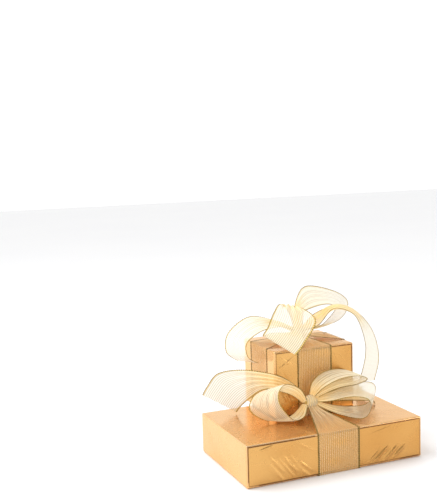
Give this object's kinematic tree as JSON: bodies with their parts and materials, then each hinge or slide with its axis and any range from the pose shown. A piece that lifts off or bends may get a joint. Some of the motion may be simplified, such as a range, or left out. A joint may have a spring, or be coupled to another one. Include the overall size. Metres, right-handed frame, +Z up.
{
  "type": "gift box stack",
  "caption": "Stack of two foil-wrapped gift boxes, a small one on a wide flat one, each tied with a sheer wire-edged ribbon and bow; the small gift lifts off.",
  "frame": {"origin": "middle of the wide gift's footprint, on the surface that it stands on", "axes": "+X along the wide gift's long side to the right, +Y towards its back, +Z up; its front face looks along -Y"},
  "size_m": [0.178, 0.1143, 0.1451],
  "materials": {
    "foil_paper": "peach-gold metallic foil, soft satin gloss",
    "sheer_ribbon": "sheer ivory organza with fine ribs",
    "gilt_wire": "fine gilt wire bound in the edge",
    "grey_board": "matt grey board",
    "clear_tape": "clear glossy tape"
  },
  "bodies": {
    "lower_gift": {"lower_carton_tray": "grey_board", "lower_carton_lid": "grey_board", "lower_paper_belt": "foil_paper", "lower_paper_front_fold": "foil_paper", "lower_paper_back_fold": "foil_paper", "lower_back_tape": "clear_tape", "lower_knot": "sheer_ribbon", "lower_band": "sheer_ribbon", "lower_band_wires": "gilt_wire", "lower_right_tail": "sheer_ribbon", "lower_right_tail_wires": "gilt_wire"},
    "upper_gift": {"upper_carton_tray": "grey_board", "upper_carton_lid": "grey_board", "upper_paper_belt": "foil_paper", "upper_paper_front_fold": "foil_paper", "upper_paper_back_fold": "foil_paper", "upper_back_tape": "clear_tape", "upper_knot": "sheer_ribbon", "upper_band_front_back": "sheer_ribbon", "upper_band_front_back_wires": "gilt_wire", "upper_band_left_right": "sheer_ribbon", "upper_band_left_right_wires": "gilt_wire"},
    "lower_left_loop": {"lower_left_loop": "sheer_ribbon", "lower_left_loop_wires": "gilt_wire"},
    "lower_left_tail": {"lower_left_tail": "sheer_ribbon", "lower_left_tail_wires": "gilt_wire"},
    "lower_right_front_loop": {"lower_right_front_loop": "sheer_ribbon", "lower_right_front_loop_wires": "gilt_wire"},
    "lower_right_back_loop": {"lower_right_back_loop": "sheer_ribbon", "lower_right_back_loop_wires": "gilt_wire"},
    "upper_left_curl": {"upper_left_curl": "sheer_ribbon", "upper_left_curl_wires": "gilt_wire"},
    "upper_front_loop": {"upper_front_loop": "sheer_ribbon", "upper_front_loop_wires": "gilt_wire"},
    "upper_right_loop": {"upper_right_loop": "sheer_ribbon", "upper_right_loop_wires": "gilt_wire"},
    "upper_right_tail": {"upper_right_tail": "sheer_ribbon", "upper_right_tail_wires": "gilt_wire"}
  },
  "joints": [
    {"name": "upper_gift_lift", "type": "slide", "parent": "lower_gift", "child": "upper_gift", "axis": [0, 0, 1], "range_m": [0, 0.12]},
    {"name": "lower_left_loop_bend", "type": "hinge", "parent": "lower_gift", "child": "lower_left_loop", "pos_m": [-0.003, -0.008, 0.0517], "axis": [0, 0, 1], "range_deg": [0, 12]},
    {"name": "lower_left_tail_bend", "type": "hinge", "parent": "lower_gift", "child": "lower_left_tail", "pos_m": [-0.003, -0.008, 0.0517], "axis": [0.5026, 0.8645, 0], "range_deg": [0, 5]},
    {"name": "lower_right_back_loop_bend", "type": "hinge", "parent": "lower_gift", "child": "lower_right_back_loop", "pos_m": [-0.003, -0.008, 0.0517], "axis": [0, -1, 0], "range_deg": [0, 12]},
    {"name": "lower_right_front_loop_bend", "type": "hinge", "parent": "lower_gift", "child": "lower_right_front_loop", "pos_m": [-0.003, -0.008, 0.0517], "axis": [0, -1, 0], "range_deg": [0, 12]},
    {"name": "upper_left_curl_bend", "type": "hinge", "parent": "upper_gift", "child": "upper_left_curl", "pos_m": [0.0055, 0.031, 0.1079], "axis": [0, 0, 1], "range_deg": [-8, 0]},
    {"name": "upper_front_loop_bend", "type": "hinge", "parent": "upper_gift", "child": "upper_front_loop", "pos_m": [0.0055, 0.031, 0.1079], "axis": [-0.65, 0.76, 0], "range_deg": [0, 8]},
    {"name": "upper_right_loop_bend", "type": "hinge", "parent": "upper_gift", "child": "upper_right_loop", "pos_m": [0.0055, 0.031, 0.1079], "axis": [0, 0, 1], "range_deg": [0, 12]},
    {"name": "upper_right_tail_bend", "type": "hinge", "parent": "upper_gift", "child": "upper_right_tail", "pos_m": [0.0055, 0.031, 0.1079], "axis": [0, -1, 0], "range_deg": [0, 10]}
  ],
  "couplings": [
    {"joint": "lower_right_front_loop_bend", "follows": "lower_right_back_loop_bend", "ratio": 1}
  ]
}
